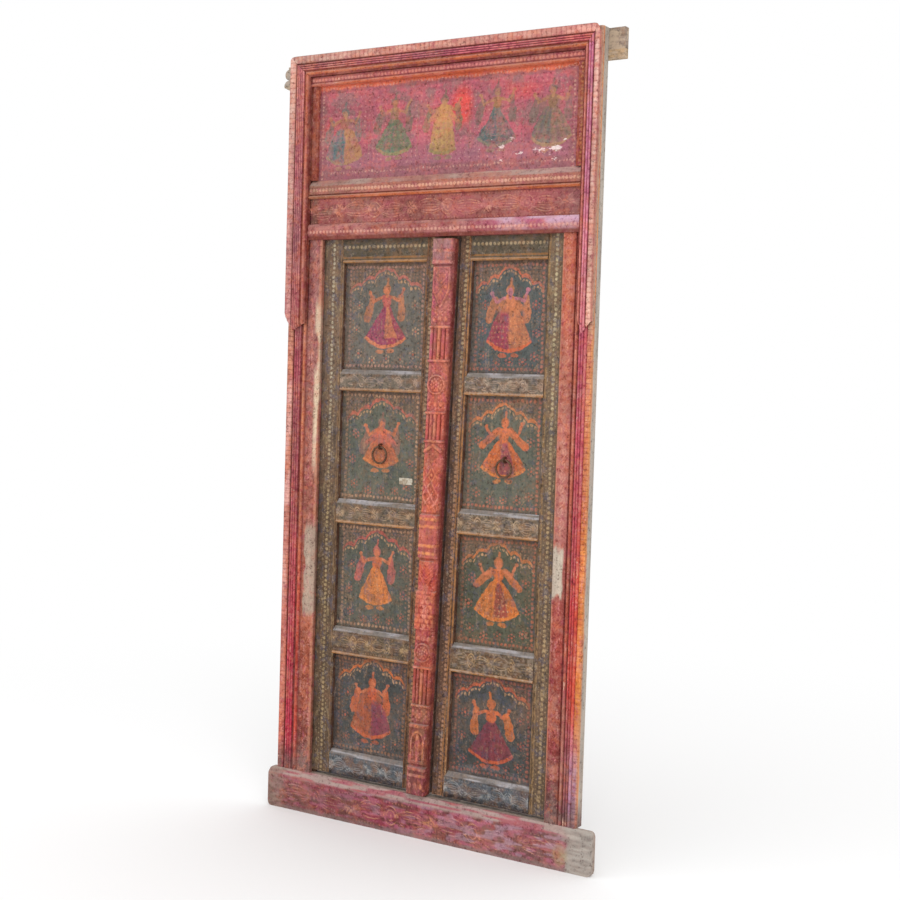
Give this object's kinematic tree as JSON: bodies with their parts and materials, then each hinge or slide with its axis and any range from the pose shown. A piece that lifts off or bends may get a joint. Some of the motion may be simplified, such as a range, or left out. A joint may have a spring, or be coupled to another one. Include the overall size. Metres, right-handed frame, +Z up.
{
  "type": "painted double door",
  "caption": "Carved and painted wooden double door on pivots, with its frame: sill, jambs, hood moulding, figured frieze, centre post and iron ring pulls.",
  "frame": {"origin": "on the ground under the middle of the whole door's box", "axes": "+X to the right seen from the painted front, +Y inwards through the doorway, +Z up"},
  "size_m": [1.073, 0.0732, 2.132],
  "materials": {
    "red_paint": "old red and magenta distemper over carved wood, rubbed on the edges, matt",
    "magenta_paint": "magenta ground with painted figures, worn and matt",
    "dark_paint": "dark green-grey paint with dotted borders and figures, dusty and matt",
    "bare_wood": "bare weathered brown wood",
    "iron": "brown rusted forged iron",
    "pale_metal": "thin pale metal plate, dull"
  },
  "bodies": {
    "frame": {"sill": "red_paint", "jamb_left": "red_paint", "jamb_right": "red_paint", "transom": "red_paint", "head_beam": "bare_wood", "hood_left": "red_paint", "hood_right": "red_paint", "hood_top": "red_paint", "frieze_panel": "magenta_paint", "frieze_top_rail": "red_paint", "frieze_mid_rail": "red_paint", "frieze_stile_left": "red_paint", "frieze_stile_right": "red_paint", "frieze_band": "red_paint", "lintel_moulding": "red_paint"},
    "left_leaf": {"left_hinge_stile": "dark_paint", "left_meeting_stile": "dark_paint", "left_bottom_rail": "dark_paint", "left_lower_rail": "dark_paint", "left_lock_rail": "dark_paint", "left_upper_rail": "dark_paint", "left_top_rail": "dark_paint", "left_panel_1": "dark_paint", "left_panel_2": "dark_paint", "left_panel_3": "dark_paint", "left_panel_4": "dark_paint", "left_ring_staple": "iron", "patch_plate": "pale_metal", "centre_post": "red_paint"},
    "right_leaf": {"right_hinge_stile": "dark_paint", "right_meeting_stile": "dark_paint", "right_bottom_rail": "dark_paint", "right_lower_rail": "dark_paint", "right_lock_rail": "dark_paint", "right_upper_rail": "dark_paint", "right_top_rail": "dark_paint", "right_panel_1": "dark_paint", "right_panel_2": "dark_paint", "right_panel_3": "dark_paint", "right_panel_4": "dark_paint", "right_ring_staple": "iron"},
    "left_ring": {"left_ring": "iron"},
    "right_ring": {"right_ring": "iron"}
  },
  "joints": [
    {"name": "left_leaf_pivot", "type": "hinge", "parent": "frame", "child": "left_leaf", "pos_m": [-0.3625, 0.01135, 0.866], "axis": [0, 0, 1], "range_deg": [0, 90]},
    {"name": "right_leaf_pivot", "type": "hinge", "parent": "frame", "child": "right_leaf", "pos_m": [0.3965, 0.01135, 0.866], "axis": [0, 0, -1], "range_deg": [0, 90]},
    {"name": "left_ring_swing", "type": "hinge", "parent": "left_leaf", "child": "left_ring", "pos_m": [-0.16197, 0.00235, 1.052], "axis": [-1, 0, 0], "range_deg": [-5, 150]},
    {"name": "right_ring_swing", "type": "hinge", "parent": "right_leaf", "child": "right_ring", "pos_m": [0.2319, 0.00235, 1.037], "axis": [-1, 0, 0], "range_deg": [-5, 150]}
  ]
}
